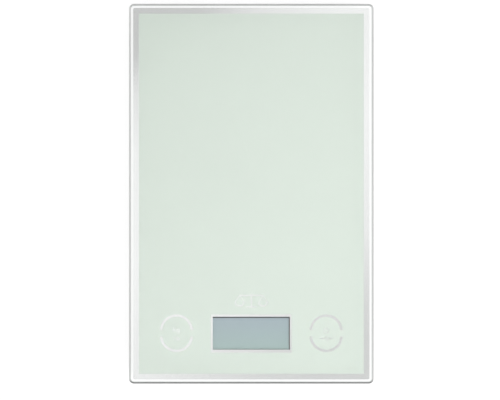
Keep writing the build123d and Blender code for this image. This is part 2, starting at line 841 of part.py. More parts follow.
with BuildPart() as gauge_sealant:
    for corner in corners:
        with BuildSketch(cell_plane(corner, cell_top)):
            with Locations((0, sealant_from_foot + sealant_length / 2)):
                Rectangle(sealant_width, sealant_length)
        extrude(amount=sealant_thickness)
    add(strain_gauges.part, mode=Mode.SUBTRACT)
gauge_sealant.part.label = "gauge_sealant"
export_step(gauge_sealant.part, "parts/gauge_sealant.step")


# ------------------------------------------------------------------ wiring
def lead_end_y(sy, lane):
    """Where along Y a sensor lead reaches its solder joint."""
    if sy < 0:
        return -lead_drop_y + lead_front_entry + lane * joint_pitch
    return -lead_drop_y + lead_rear_entry - lane * joint_pitch


def lead_route(sx, sy, lane):
    """From the gauge's sealant down to the floor, along it, and in under the board."""
    x = foot_x + lane * lead_pitch
    lane_x = lead_lane + lane * lead_pitch
    end_y = lead_end_y(sy, lane)
    route = [
        (sx * x, sy * (foot_y - sealant_end), lead_start_z),
        (sx * x, sy * lead_drop_y, lead_start_z),
        (sx * x, sy * lead_drop_y, lead_z),
    ]
    if sy < 0:
        route.append((sx * x, end_y, lead_z))
    else:
        route.append((sx * x, lead_drop_y - lead_straight, lead_z))
        route.append((sx * lane_x, lead_drop_y - lead_shift_end, lead_z))
        route.append((sx * lane_x, end_y, lead_z))
    route.append((sx * (joint_x + joint_size / 2), end_y, lead_z))
    return route


for lane, colour in enumerate(("red", "white", "black"), start=-1):
    with BuildPart() as sensor_leads:
        for sx, sy in corners.values():
            run_wire(lead_route(sx, sy, lane), lead_diameter, lead_bend)
    sensor_leads.part.label = f"sensor_leads_{colour}"
    export_step(sensor_leads.part, f"parts/sensor_leads_{colour}.step")

battery_wire_z = joint_bottom + battery_wire_diameter / 2 + solder_margin
battery_wire_end = battery_joint_y + joint_size / 2

with BuildPart() as battery_wire_positive:
    positive_route = [
        (clip_start.X, contact_end, battery_wire_z),
        (clip_start.X, contact_end - battery_wire_straight, battery_wire_z),
        (battery_wire_x, contact_end - battery_wire_shift_end, battery_wire_z),
        (battery_wire_x, battery_wire_end, battery_wire_z),
    ]
    run_wire(positive_route, battery_wire_diameter, lead_bend)
battery_wire_positive.part.label = "battery_wire_positive"
export_step(battery_wire_positive.part, "parts/battery_wire_positive.step")

with BuildPart() as battery_wire_negative:
    tab_middle = contact_end + contact_tab / 2
    negative_route = [
        (leaf_x, tab_middle, box_ceiling - contact_thickness),
        (leaf_x, tab_middle, battery_wire_z),
        (leaf_x, tab_middle - battery_wire_straight, battery_wire_z),
        (-battery_wire_x, tab_middle - battery_wire_shift_end, battery_wire_z),
        (-battery_wire_x, battery_wire_end, battery_wire_z),
    ]
    run_wire(negative_route, battery_wire_diameter, battery_wire_diameter)
battery_wire_negative.part.label = "battery_wire_negative"
export_step(battery_wire_negative.part, "parts/battery_wire_negative.step")

with BuildPart() as wire_solder_joints:
    with BuildSketch(level(board_bottom)):
        for sx, sy in corners.values():
            for lane in (-1, 0, 1):
                with Locations((sx * joint_x, lead_end_y(sy, lane))):
                    Rectangle(joint_size, joint_size)
        with Locations((battery_wire_x, battery_joint_y), (-battery_wire_x, battery_joint_y)):
            Rectangle(joint_size, joint_size)
    extrude(amount=joint_bottom - board_bottom)
wire_solder_joints.part.label = "wire_solder_joints"
export_step(wire_solder_joints.part, "parts/wire_solder_joints.step")

# ------------------------------------------------------------------ board and display
with BuildPart() as main_board:
    with BuildSketch(level(board_bottom)):
        with Locations((0, (board_front_y + board_rear_y) / 2)):
            Rectangle(board_width, board_rear_y - board_front_y)
        draw_discs(board_screw_spots, board_screw_radius + screw_hole_gap, Mode.SUBTRACT)
        draw_discs(peg_spots, peg_radius + peg_hole_gap, Mode.SUBTRACT)
    extrude(amount=board_thickness)
main_board.part.label = "main_board"
export_step(main_board.part, "parts/main_board.step")

with BuildPart() as board_screws:
    with BuildSketch(level(board_bottom)):
        draw_discs(board_screw_spots, board_screw_head_radius)
    extrude(amount=-board_screw_head_height)
    with BuildSketch(level(board_bottom)):
        draw_discs(board_screw_spots, board_screw_radius)
    extrude(amount=board_screw_length)
    with BuildSketch(level(board_bottom - board_screw_head_height)):
        with Locations(*board_screw_spots):
            draw_cross(board_screw_head_radius)
    extrude(amount=drive_depth, mode=Mode.SUBTRACT)
board_screws.part.label = "board_screws"
export_step(board_screws.part, "parts/board_screws.step")

with BuildPart() as lcd_holder:
    with BuildSketch(level(board_top)):
        with Locations((module_x, module_y)):
            Rectangle(holder_width, holder_depth)
            Rectangle(lcd_width + 2 * holder_gap, lcd_depth + 2 * holder_gap, mode=Mode.SUBTRACT)
    extrude(amount=film_top - board_top)
    with BuildSketch(level(film_top)):
        with Locations((module_x, module_y)):
            Rectangle(holder_width, holder_depth)
            Rectangle(aperture_width, aperture_depth, mode=Mode.SUBTRACT)
    extrude(amount=holder_lip)
    with BuildSketch(level(board_top)):
        draw_discs(peg_spots, peg_radius)
    extrude(amount=-board_thickness)
    with BuildSketch(level(board_bottom)):
        draw_discs(peg_spots, peg_head_radius)
    extrude(amount=-peg_head_height)
lcd_holder.part.label = "lcd_holder"
export_step(lcd_holder.part, "parts/lcd_holder.step")

reflector_depth = rear_pane_depth - 2 * reflector_inset
display_layers = {
    "lcd_front_film": (polariser_width, polariser_depth, pane_top, film_thickness),
    "lcd_front_glass": (lcd_width, lcd_depth, front_pane_bottom, lcd_pane),
    "lcd_rear_glass": (lcd_width, rear_pane_depth, rear_pane_bottom, lcd_pane),
    "lcd_reflector": (polariser_width, reflector_depth, rear_pane_bottom - film_thickness, film_thickness),
}
for name, (width, depth, bottom, thickness) in display_layers.items():
    with BuildPart() as display_layer:
        with BuildSketch(level(bottom)):
            with Locations((module_x, module_y)):
                Rectangle(width, depth)
        extrude(amount=thickness)
    display_layer.part.label = name
    export_step(display_layer.part, f"parts/{name}.step")

for name, side in (("zebra_strip_front", -1), ("zebra_strip_rear", 1)):
    with BuildPart() as zebra_strip:
        with BuildSketch(level(board_top)):
            with Locations((module_x, module_y + side * (lcd_depth - lcd_ledge) / 2)):
                Rectangle(zebra_width, zebra_thickness)
        extrude(amount=front_pane_bottom - board_top)
    zebra_strip.part.label = name
    export_step(zebra_strip.part, f"parts/{name}.step")

with BuildPart() as chip_blob:
    with BuildSketch(level(board_top)):
        with Locations((module_x, module_y)):
            Circle(chip_radius)
    extrude(amount=chip_height)
    fillet(chip_blob.faces().sort_by(Axis.Z)[-1].edges(), chip_edge_radius)
chip_blob.part.label = "chip_blob"
export_step(chip_blob.part, "parts/chip_blob.step")

component_row_y = board_rear_y - components_from_edge
with BuildPart() as board_resistors:
    with BuildSketch(level(board_top)):
        with Locations((resistor_bank_x, component_row_y)):
            with GridLocations(resistor_pitch, component_row_pitch, component_columns, 2):
                Rectangle(resistor_size[0], resistor_size[1])
    extrude(amount=resistor_size[2])
board_resistors.part.label = "board_resistors"
export_step(board_resistors.part, "parts/board_resistors.step")

with BuildPart() as board_capacitors:
    with BuildSketch(level(board_top)):
        with Locations((capacitor_bank_x, component_row_y)):
            with GridLocations(capacitor_pitch, component_row_pitch, component_columns, 2):
                Rectangle(capacitor_size[0], capacitor_size[1])
    extrude(amount=capacitor_size[2])
board_capacitors.part.label = "board_capacitors"
export_step(board_capacitors.part, "parts/board_capacitors.step")

with BuildPart() as crystal:
    with BuildSketch(level(board_top)):
        with Locations((0, board_rear_y - crystal_from_edge)):
            RectangleRounded(crystal_size[0], crystal_size[1], crystal_corner_radius)
    extrude(amount=crystal_size[2])
crystal.part.label = "crystal"
export_step(crystal.part, "parts/crystal.step")

for name, side in (("touch_electrode_left", -1), ("touch_electrode_right", 1)):
    with BuildPart() as touch_electrode:
        with BuildSketch(level(tape_top)):
            with Locations((side * touch_spacing / 2, display_y)):
                Circle(electrode_radius)
            with Locations((side * touch_spacing / 2, (display_y + tail_y) / 2)):
                Rectangle(tail_width, tail_y - display_y + tail_width)
            with Locations((side * (touch_spacing / 2 + tail_x) / 2, tail_y)):
                Rectangle(touch_spacing / 2 - tail_x + electrode_thickness, tail_width)
        extrude(amount=-electrode_thickness)
        with BuildSketch(level(board_top)):
            with Locations((side * tail_x, tail_y)):
                Rectangle(electrode_thickness, tail_width)
        extrude(amount=tape_top - board_top)
    touch_electrode.part.label = name
    export_step(touch_electrode.part, f"parts/{name}.step")

# ------------------------------------------------------------------ battery and door
with BuildPart() as coin_cell:
    with BuildSketch(level(coin_bottom)):
        with Locations((0, battery_y)):
            Circle(coin_radius)
    extrude(amount=coin_height - coin_step)
    fillet(coin_cell.edges().filter_by(GeomType.CIRCLE), coin_step)
    with BuildSketch(level(coin_top)):
        with Locations((0, battery_y)):
            Circle(coin_cap_radius)
    extrude(amount=-2 * coin_step)
coin_cell.part.label = "coin_cell"
export_step(coin_cell.part, "parts/coin_cell.step")

with BuildPart() as battery_contact_positive:
    with BuildSketch(level(coin_bottom + contact_lift)):
        with BuildLine():
            Polyline((clip_start.X, contact_end), (clip_start.X, clip_start.Y), (clip_end.X, clip_end.Y))
        trace(line_width=contact_thickness)
    extrude(amount=coin_height - 2 * coin_step - contact_lift)
battery_contact_positive.part.label = "battery_contact_positive"
export_step(battery_contact_positive.part, "parts/battery_contact_positive.step")

with BuildPart() as battery_contact_negative:
    with BuildSketch(Plane.YZ.offset(leaf_x)):
        base_z = box_ceiling - contact_thickness / 2
        touch_z = coin_top + contact_thickness / 2 + 2 * contact_clearance
        with BuildLine():
            Polyline(
                (contact_end, base_z),
                (battery_y - coin_radius / 2 - leaf_bend, base_z),
                (battery_y + leaf_touch, touch_z),
                (battery_y + leaf_tip, touch_z + leaf_tip_rise),
            )
        trace(line_width=contact_thickness)
    extrude(amount=contact_width / 2, both=True)
battery_contact_negative.part.label = "battery_contact_negative"
export_step(battery_contact_negative.part, "parts/battery_contact_negative.step")

latch_inner_y = door_front + latch_thickness + latch_leg_gap

with BuildPart() as battery_door:
    with BuildSketch(level(case_bottom)):
        with Locations((0, (door_front + hinge_y) / 2)):
            Rectangle(2 * door_half, hinge_y - door_front)
    extrude(amount=door_thickness)
    with BuildSketch(Plane.YZ):
        with Locations((hinge_y, hinge_z)):
            Circle(knuckle_radius)
    extrude(amount=door_half, both=True)
    with BuildSketch(Plane.YZ):
        with Locations((hinge_y, hinge_z)):
            Circle(hinge_pin_radius)
    extrude(amount=door_half + hinge_pin_length, both=True)
    # Bars that carry the cell, the opening for the latch, and grip grooves
    with BuildSketch(level(door_top)):
        with Locations((0, battery_y)):
            with GridLocations(coin_radius, 0, 2, 1):
                Rectangle(rib_thickness, coin_radius)
    extrude(amount=coin_lift - door_seat_gap)
    with BuildSketch(level(case_bottom)):
        with Locations((0, door_front)):
            Rectangle(latch_width + 2 * latch_side_gap, 2 * (latch_inner_y - door_front - latch_root_overlap))
    extrude(amount=door_thickness, mode=Mode.SUBTRACT)
    with BuildSketch(level(case_bottom)):
        with Locations((0, door_front + grip_from_front)):
            with GridLocations(0, grip_pitch, 1, grip_count):
                Rectangle(grip_width, grip_groove)
    extrude(amount=grip_depth, mode=Mode.SUBTRACT)
battery_door.part.label = "battery_door"
export_step(battery_door.part, "parts/battery_door.step")

with BuildPart() as battery_door_latch:
    with BuildSketch(Plane.YZ):
        outer_leg = door_front + latch_thickness / 2
        inner_leg = latch_inner_y + latch_thickness / 2
        with BuildLine():
            FilletPolyline(
                (outer_leg, case_bottom),
                (outer_leg, door_top + latch_height),
                (inner_leg, door_top + latch_height),
                (inner_leg, door_top),
                radius=(inner_leg - outer_leg) * latch_bend_share,
            )
        trace(line_width=latch_thickness)
        catch_y = door_front - door_gap - latch_catch
        catch_root_y = door_front + catch_lift
        catch_z = door_top + catch_lift
        with BuildLine():
            Polyline(
                (catch_root_y, catch_z),
                (catch_y, catch_z),
                (catch_y, catch_z + catch_face),
                (catch_root_y, catch_z + catch_ramp),
                close=True,
            )
        make_face()
    extrude(amount=latch_width / 2, both=True)
battery_door_latch.part.label = "battery_door_latch"
export_step(battery_door_latch.part, "parts/battery_door_latch.step")
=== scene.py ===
"""A slim kitchen scale: finishes, glass, pads and studio built round the scale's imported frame."""

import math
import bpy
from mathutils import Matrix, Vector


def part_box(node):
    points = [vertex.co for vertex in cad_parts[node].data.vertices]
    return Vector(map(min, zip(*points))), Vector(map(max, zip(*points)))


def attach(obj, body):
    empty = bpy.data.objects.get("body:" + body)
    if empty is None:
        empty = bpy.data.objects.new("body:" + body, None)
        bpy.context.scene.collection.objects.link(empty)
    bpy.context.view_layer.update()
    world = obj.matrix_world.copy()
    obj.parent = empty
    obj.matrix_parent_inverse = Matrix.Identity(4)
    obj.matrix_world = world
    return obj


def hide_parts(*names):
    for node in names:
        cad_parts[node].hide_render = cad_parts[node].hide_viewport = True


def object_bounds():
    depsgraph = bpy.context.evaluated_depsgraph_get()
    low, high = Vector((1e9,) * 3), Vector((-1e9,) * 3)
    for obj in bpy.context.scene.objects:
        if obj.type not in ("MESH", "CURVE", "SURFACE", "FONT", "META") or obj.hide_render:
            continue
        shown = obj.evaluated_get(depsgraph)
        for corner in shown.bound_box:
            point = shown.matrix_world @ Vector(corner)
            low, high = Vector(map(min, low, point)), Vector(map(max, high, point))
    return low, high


bl_info = {
    "name": "Glass Kitchen Scale",
    "version": (1, 0, 0),
    "blender": (4, 5, 0),
    "location": "View3D > Sidebar > Kitchen Scale",
    "description": "Builds the glass, finishes and studio of a slim kitchen scale round its CAD frame",
    "category": "Object",
}

import bmesh
import bpy
from bpy.props import FloatProperty, FloatVectorProperty, IntProperty, PointerProperty
from mathutils import Vector

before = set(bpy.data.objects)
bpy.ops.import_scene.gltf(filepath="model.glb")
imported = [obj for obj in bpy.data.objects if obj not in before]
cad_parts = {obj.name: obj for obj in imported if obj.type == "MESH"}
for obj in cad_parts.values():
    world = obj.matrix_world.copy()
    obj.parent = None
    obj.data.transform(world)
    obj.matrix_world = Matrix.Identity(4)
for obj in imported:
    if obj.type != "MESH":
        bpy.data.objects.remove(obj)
cad_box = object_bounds()

MM = 0.001
CORNERS = ("front_left", "front_right", "rear_left", "rear_right")
WHITE = (1.0, 1.0, 1.0)
BLACK = (0.0, 0.0, 0.0)
TABLE_DROP = 0.02 * MM
FLAG_LIFT = 0.2 * MM
INK_TO_GLASS = 0.02 * MM
ARC_STEPS = 5
FINISHES = {}


# ------------------------------------------------------------------ shader expressions
class Number:
    """A number socket that takes part in Python arithmetic by adding Math nodes."""

    def __init__(self, finish, socket):
        self.finish = finish
        self.socket = socket

    def worked(self, operation, first, second):
        """The result of one Math node on two values."""
        made = self.finish.node("ShaderNodeMath", {"operation": operation}, {0: first, 1: second})
        return Number(self.finish, made.outputs[0])

    def larger(self, other):
        """The larger of two numbers."""
        return self.worked("MAXIMUM", self, other)

    def folded(self, span):
        """The number folded back and forth between 0 and span."""
        return self.worked("PINGPONG", self, span)

    def __add__(self, other):
        return self.worked("ADD", self, other)

    def __radd__(self, other):
        return self.worked("ADD", other, self)

    def __sub__(self, other):
        return self.worked("SUBTRACT", self, other)

    def __rsub__(self, other):
        return self.worked("SUBTRACT", other, self)

    def __mul__(self, other):
        return self.worked("MULTIPLY", self, other)

    def __rmul__(self, other):
        return self.worked("MULTIPLY", other, self)

    def __gt__(self, other):
        return self.worked("GREATER_THAN", self, other)

    def __lt__(self, other):
        return self.worked("LESS_THAN", self, other)

    def __pow__(self, other):
        return self.worked("POWER", self, other)

    def __rpow__(self, other):
        return self.worked("POWER", other, self)


class Nodes:
    """A node tree that is built from values, links and number expressions."""

    def __init__(self, tree):
        self.tree = tree

    def feed(self, socket, value):
        """Links a socket or sets its value."""
        if isinstance(value, Number):
            value = value.socket
        if isinstance(value, bpy.types.NodeSocket):
            self.tree.links.new(value, socket)
        else:
            socket.default_value = value

    def node(self, kind, settings=None, inputs=None):
        """Any node: its settings first, with a ramp's stops among them, then its sockets."""
        made = self.tree.nodes.new(kind)
        for key, value in (settings or {}).items():
            if key == "stops":
                set_stops(made.color_ramp, value)
            else:
                setattr(made, key, value)
        for key, value in (inputs or {}).items():
            self.feed(made.inputs[key], value)
        return made


class Finish(Nodes):
    """A node material with one Principled shader. Lengths in its patterns are in millimetres."""

    def __init__(self, name, **fixed):
        self.material = FINISHES[name] = bpy.data.materials.new(name)
        self.material.use_nodes = True
        super().__init__(self.material.node_tree)
        self.shader = self.tree.nodes["Principled BSDF"]
        self.output = self.tree.nodes["Material Output"]
        for key, value in fixed.items():
            self.set(key.replace("_", " ").title().replace("Ior", "IOR"), value)

    def set(self, socket, value):
        """Gives one socket of the Principled shader a constant or a link."""
        if isinstance(value, tuple) and len(value) == 3 and socket != "Normal":
            value = (*value, 1.0)
        self.feed(self.shader.inputs[socket], value)

    def place(self, stretch=(1.0, 1.0, 1.0)):
        """The place on the object in millimetres, stretched along each axis."""
        here = self.node("ShaderNodeTexCoord")
        scale = tuple(1000.0 * s for s in stretch)
        inputs = {0: here.outputs["Object"], 1: scale}
        return self.node("ShaderNodeVectorMath", {"operation": "MULTIPLY"}, inputs).outputs[0]

    def axes(self):
        """The place on the object in millimetres, as three numbers."""
        made = self.node("ShaderNodeSeparateXYZ", None, {0: self.place()})
        return [Number(self, socket) for socket in made.outputs]

    def facing(self):
        """The way the surface faces, as three numbers from -1 to 1."""
        normal = self.node("ShaderNodeTexCoord").outputs["Normal"]
        made = self.node("ShaderNodeSeparateXYZ", None, {0: normal})
        return [Number(self, socket) for socket in made.outputs]

    def noise(self, size, detail=2.0, stretch=(1.0, 1.0, 1.0), roughness=0.5):
        """Fractal noise whose grains are about size millimetres."""
        inputs = {"Vector": self.place(stretch), "Scale": 1.0 / size}
        inputs.update({"Detail": detail, "Roughness": roughness})
        return Number(self, self.node("ShaderNodeTexNoise", None, inputs).outputs[0])

    def cells(self, size, feature="F1", stretch=(1.0, 1.0, 1.0)):
        """Distance to the nearest cell point, in cells of about size millimetres."""
        inputs = {"Vector": self.place(stretch), "Scale": 1.0 / size}
        made = self.node("ShaderNodeTexVoronoi", {"feature": feature}, inputs)
        return Number(self, made.outputs["Distance"])

    def stripes(self, pitch, along=0):
        """A triangle wave from 0 to 1 along one axis, with that pitch in millimetres."""
        return self.axes()[along].folded(pitch / 2.0) * (2.0 / pitch)

    def ramp(self, value, low, high):
        """value's way from low to high as a number from 0 to 1."""
        inputs = {"Value": value, "From Min": low, "From Max": high}
        return Number(self, self.node("ShaderNodeMapRange", {"clamp": True}, inputs).outputs[0])

    def blend(self, factor, first, second):
        """A colour between two colours."""
        inputs = {0: factor, 6: (*first, 1.0) if isinstance(first, tuple) else first}
        inputs[7] = (*second, 1.0) if isinstance(second, tuple) else second
        return self.node("ShaderNodeMix", {"data_type": "RGBA"}, inputs).outputs[2]

    def relief(self, height, depth, strength=1.0):
        """Bump of the given depth in millimetres, fed to the shader's normal."""
        inputs = {"Height": height, "Distance": depth * MM, "Strength": strength}
        self.set("Normal", self.node("ShaderNodeBump", None, inputs).outputs[0])

    def cleared(self, share, colour=WHITE):
        """Swaps the shader for plain transparency where share is 1."""
        clear = self.node("ShaderNodeBsdfTransparent", None, {"Color": (*colour, 1.0)})
        sides = {0: share, 1: self.shader.outputs[0], 2: clear.outputs[0]}
        self.feed(self.output.inputs["Surface"], self.node("ShaderNodeMixShader", None, sides).outputs[0])

    def lets_lamps_through(self, colour):
        """Lets the light of lamps through, dimmed by a colour, where glass would shadow what it covers."""
        self.cleared(self.node("ShaderNodeLightPath").outputs["Is Shadow Ray"], colour)


def set_stops(ramp, stops):
    """Replaces a colour ramp's stops."""
    while len(ramp.elements) > 1:
        ramp.elements.remove(ramp.elements[-1])
    ramp.elements[0].position = stops[0][0]
    ramp.elements[0].color = (*stops[0][1], 1.0)
    for position, colour in stops[1:]:
        ramp.elements.new(position).color = (*colour, 1.0)


def shade(colour, by):
    """A colour made lighter or darker by a factor."""
    return tuple(min(1.0, part * by) for part in colour)


# ------------------------------------------------------------------ finishes
def float_glass(tint):
    """Polished float glass, faintly green through its thickness, which lets lamps through."""
    finish = Finish("float_glass", base_color=WHITE, ior=1.52, transmission_weight=1.0)
    finish.set("Roughness", finish.noise(28.0, 3.0) * 0.006)
    finish.lets_lamps_through((0.955, 0.965, 0.96))
    body = finish.node("ShaderNodeVolumeAbsorption", None, {"Color": (*tint, 1.0), "Density": 9.0})
    finish.feed(finish.output.inputs["Volume"], body.outputs[0])
    return finish.material


def ground_edge(tint):
    """The glass's satin ground edge, which scatters light. Its grey is partly painted shade, and painted
    shade makes it darkest where it faces front.
    """
    finish = Finish("ground_glass_edge", ior=1.52, transmission_weight=1.0)
    grind = finish.noise(0.5, 3.0, (1.0, 1.0, 0.2))
    # painted shade: the edge's colour goes nearly black where it faces front, standing in for the dark line
    # along the front edge
    painted_front_shade = finish.ramp(finish.facing()[1], 0.0, -0.45)
    ground = finish.blend(grind, shade(tint, 0.86), tint)
    finish.set("Base Color", finish.blend(painted_front_shade, ground, shade(tint, 0.05)))
    finish.set("Roughness", 0.42 + grind * 0.12)
    finish.lets_lamps_through((0.8, 0.82, 0.81))
    return finish.material


def screen_ink(colour):
    """Opaque screen-printed ink: nearly even, with a trace of mottle."""
    finish = Finish("pale_green_ink", roughness=0.42)
    mottle = finish.noise(9.0, 3.0) * 0.6 + finish.noise(0.35, 1.0) * 0.4
    finish.set("Base Color", finish.blend(mottle, shade(colour, 0.985), shade(colour, 1.012)))
    finish.relief(finish.noise(0.2, 1.0), 0.004, 0.4)
    return finish.material


def mirror_ink(colour):
    """Mirror-silver ink, a little uneven from the squeegee, with a matt grey backing coat underneath."""
    finish = Finish("mirror_silver_ink")
    streak = finish.noise(2.2, 2.0, (1.0, 0.12, 1.0))
    backing = finish.facing()[2] < -0.5
    silver = finish.blend(streak, shade(colour, 0.985), colour)
    grey = finish.blend(streak, (0.50, 0.51, 0.51), (0.56, 0.57, 0.57))
    finish.set("Base Color", finish.blend(backing, silver, grey))
    finish.set("Metallic", 1.0 - backing)
    finish.set("Roughness", 0.035 + finish.noise(1.4, 2.0) * 0.03 + backing * 0.5)
    return finish.material


def moulded_plastic(name, colour, grain, roughness=0.42):
    """Moulded plastic with a spark-eroded texture and faint flow shading."""
    finish = Finish(name, specular_ior_level=0.45)
    flow = finish.noise(34.0, 2.0, (1.0, 0.45, 1.0))
    spots = finish.ramp(finish.cells(grain * 1.7), 0.0, 0.75)
    tone = flow * 0.7 + spots * 0.3
    finish.set("Base Color", finish.blend(tone, shade(colour, 0.955), shade(colour, 1.01)))
    finish.set("Roughness", roughness + (finish.noise(grain * 2.0, 2.0) - 0.5) * 0.16)
    finish.relief(finish.noise(grain, 2.0) + spots * 0.6, 0.035, 0.55)
    return finish.material


def rubber(colour):
    """Matt rubber with a mould's frosting and a little dust."""
    finish = Finish("pad_rubber", specular_ior_level=0.3)
    dust = finish.ramp(finish.noise(1.3, 4.0, roughness=0.7), 0.5, 0.82)
    finish.set("Base Color", finish.blend(dust, colour, shade(colour, 1.5)))
    finish.set("Roughness", 0.72 + dust * 0.2)
    finish.relief(finish.noise(0.16, 3.0), 0.03, 0.7)
    return finish.material


def plated_steel(name, colour, brush=(1.0, 0.06, 1.0), size=0.35):
    """Zinc or nickel plate: fine brush lines and cloudy patches."""
    finish = Finish(name, metallic=1.0)
    lines = finish.noise(size, 3.0, brush)
    cloud = finish.noise(3.0, 3.0)
    finish.set("Base Color", finish.blend(cloud, shade(colour, 0.86), shade(colour, 1.05)))
    finish.set("Roughness", 0.2 + lines * 0.16 + cloud * 0.1)
    finish.relief(lines, 0.012, 0.5)
    return finish.material


def foam():
    """White closed-cell foam tape."""
    finish = Finish("foam_tape", roughness=0.85)
    bubbles = finish.ramp(finish.cells(0.28), 0.1, 0.6)
    finish.set("Base Color", finish.blend(bubbles, (0.7, 0.71, 0.71), (0.88, 0.89, 0.89)))
    finish.relief(bubbles, 0.06, 0.8)
    return finish.material


def label_film():
    """Blank satin label with faint rolling lines."""
    finish = Finish("label_film", metallic=0.35)
    lines = finish.noise(0.5, 2.0, (0.05, 1.0, 1.0))
    finish.set("Base Color", finish.blend(lines, (0.55, 0.56, 0.57), (0.66, 0.67, 0.68)))
    finish.set("Roughness", 0.38 + lines * 0.14)
    finish.relief(lines, 0.004, 0.6)
    return finish.material


def insulation(name, colour):
    """Extruded PVC insulation."""
    finish = Finish(name, specular_ior_level=0.5)
    ripple = finish.noise(0.9, 2.0)
    finish.set("Base Color", finish.blend(ripple, shade(colour, 0.85), shade(colour, 1.08)))
    finish.set("Roughness", 0.34 + ripple * 0.14)
    finish.relief(ripple, 0.02, 0.5)
    return finish.material


def solder():
    """Tin solder with frosted patches."""
    finish = Finish("solder", metallic=1.0)
    frost = finish.noise(0.5, 3.0)
    finish.set("Base Color", finish.blend(frost, (0.55, 0.56, 0.57), (0.76, 0.77, 0.78)))
    finish.set("Roughness", 0.18 + frost * 0.3)
    finish.relief(frost, 0.05, 0.6)
    return finish.material


def circuit_board(colour):
    """Green solder mask over copper tracks, with tinned vias."""
    finish = Finish("circuit_board", specular_ior_level=0.5)
    tracks = (finish.stripes(2.4, 0) > 0.72).larger(finish.stripes(5.2, 1) > 0.82)
    vias = finish.cells(3.1) < 0.13
    masked = finish.blend(tracks * 0.8, colour, shade(colour, 1.9))
    finish.set("Base Color", finish.blend(vias, masked, (0.62, 0.6, 0.5)))
    finish.set("Roughness", 0.3 + finish.noise(0.6, 2.0) * 0.12)
    finish.set("Metallic", vias * 0.9)
    finish.relief(tracks, 0.03, 0.6)
    return finish.material


def display_film(upper, lower, low_y, high_y):
    """Unlit liquid-crystal film, cooler towards the back, with the cell spacers' faint grain."""
    finish = Finish("display_film", roughness=0.3, specular_ior_level=0.35)
    up = finish.ramp(finish.axes()[1], low_y / MM, high_y / MM)
    grain = finish.noise(0.22, 1.0) * 0.6 + finish.noise(6.0, 2.0) * 0.4
    base = finish.blend(up, lower, upper)
    finish.set("Base Color", finish.blend((grain - 0.5) * 0.3, base, shade(upper, 1.15)))
    finish.relief(finish.noise(0.12, 1.0), 0.002, 0.3)
    return finish.material


def thin_glass():
    """Display glass with its rubbed, slightly green look."""
    finish = Finish("display_glass", ior=1.5, specular_ior_level=0.6)
    haze = finish.noise(2.5, 2.0)
    finish.set("Base Color", finish.blend(haze, (0.42, 0.5, 0.47), (0.52, 0.6, 0.57)))
    finish.set("Roughness", 0.08 + haze * 0.1)
    return finish.material


def striped(name, dark, light, pitch, along, roughness=0.5, metallic=0.0):
    """A material in fine layers or tracks across one axis."""
    finish = Finish(name, metallic=metallic)
    layer = finish.stripes(pitch, along) > 0.5
    finish.set("Base Color", finish.blend(layer, dark, light))
    finish.set("Roughness", roughness + finish.noise(0.4, 2.0) * 0.15)
    finish.relief(layer, 0.02, 0.5)
    return finish.material


def studio_table(glow, surface):
    """A pale back-lit table top that is seen from above only, so that it hides nothing from below."""
    finish = Finish("studio_table", roughness=0.6, specular_ior_level=0.2, emission_strength=glow)
    cloud = finish.noise(160.0, 2.0)
    finish.set("Base Color", finish.blend(cloud, shade(surface, 0.97), surface))
    finish.set("Emission Color", finish.blend(cloud, (0.985, 0.985, 0.985), WHITE))
    finish.cleared(finish.node("ShaderNodeNewGeometry").outputs["Backfacing"])
    return finish.material


def card_finish(reach, slant, tones, fade_from, radius):
    """The overhead reflector, dimmer towards two opposite corners and fading out at its rim."""
    finish = Finish("overhead_card", base_color=BLACK, roughness=1.0, specular_ior_level=0.0)
    x, y, _ = finish.axes()
    diagonal = (x - y * slant) * (MM / reach)
    stops = [(0.5 + at / 2.0, (tone, tone, tone)) for at, tone in tones]
    ramp = finish.node("ShaderNodeValToRGB", {"stops": stops}, {0: diagonal * 0.5 + 0.5})
    finish.set("Emission Color", ramp.outputs[0])
    finish.set("Emission Strength", 1.0)
    finish.cleared(finish.ramp((x * x + y * y) ** 0.5, fade_from / MM, radius / MM))
    return finish.material


# ------------------------------------------------------------------ mesh tools
def rounded_outline(half_x, half_y, radius, steps=8):
    """Points of a rounded rectangle, anticlockwise, as (x, y)."""
    points = []
    for quarter, (sx, sy) in enumerate(((1, 1), (-1, 1), (-1, -1), (1, -1))):
        for step in range(steps + 1):
            angle = (quarter + step / steps) * math.pi / 2
            x = sx * (half_x - radius) + radius * math.cos(angle)
            y = sy * (half_y - radius) + radius * math.sin(angle)
            points.append((x, y))
    return points


def circle_outline(radius, steps=72):
    """Points of a circle, anticlockwise, as (x, y)."""
    angles = [2.0 * math.pi * step / steps for step in range(steps)]
    return [(radius * math.cos(angle), radius * math.sin(angle)) for angle in angles]


def linked(name, data):
    """A new object for a mesh, put in the scene."""
    piece = bpy.data.objects.new(name, data)
    bpy.context.scene.collection.objects.link(piece)
    return piece


def stacked_mesh(name, rings):
    """A closed mesh through rings of points, each ring as (outline, height), from bottom to top."""
    mesh = bmesh.new()
    loops = []
    for outline, z in rings:
        loops.append([mesh.verts.new((x, y, z)) for x, y in outline])
    for lower, upper in zip(loops, loops[1:]):
        for i in range(len(lower)):
            j = (i + 1) % len(lower)
            mesh.faces.new((lower[i], lower[j], upper[j], upper[i])).smooth = True
    mesh.faces.new(list(reversed(loops[0])))
    mesh.faces.new(loops[-1])
    data = bpy.data.meshes.new(name)
    mesh.to_mesh(data)
    mesh.free()
    return linked(name, data)


def flat_mesh(name, outline, z):
    """One flat face that looks up."""
    data = bpy.data.meshes.new(name)
    data.from_pydata([(x, y, z) for x, y in outline], [], [range(len(outline))])
    return linked(name, data)


def moved(piece, offset):
    """Moves a piece's points, so that its object stays at the origin."""
    for vertex in piece.data.vertices:
        vertex.co += Vector(offset)
    return piece


def dress(material, *nodes):
    """Gives CAD nodes a finish."""
    for node in nodes:
        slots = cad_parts[node].data.materials
        slots.clear()
        slots.append(material)


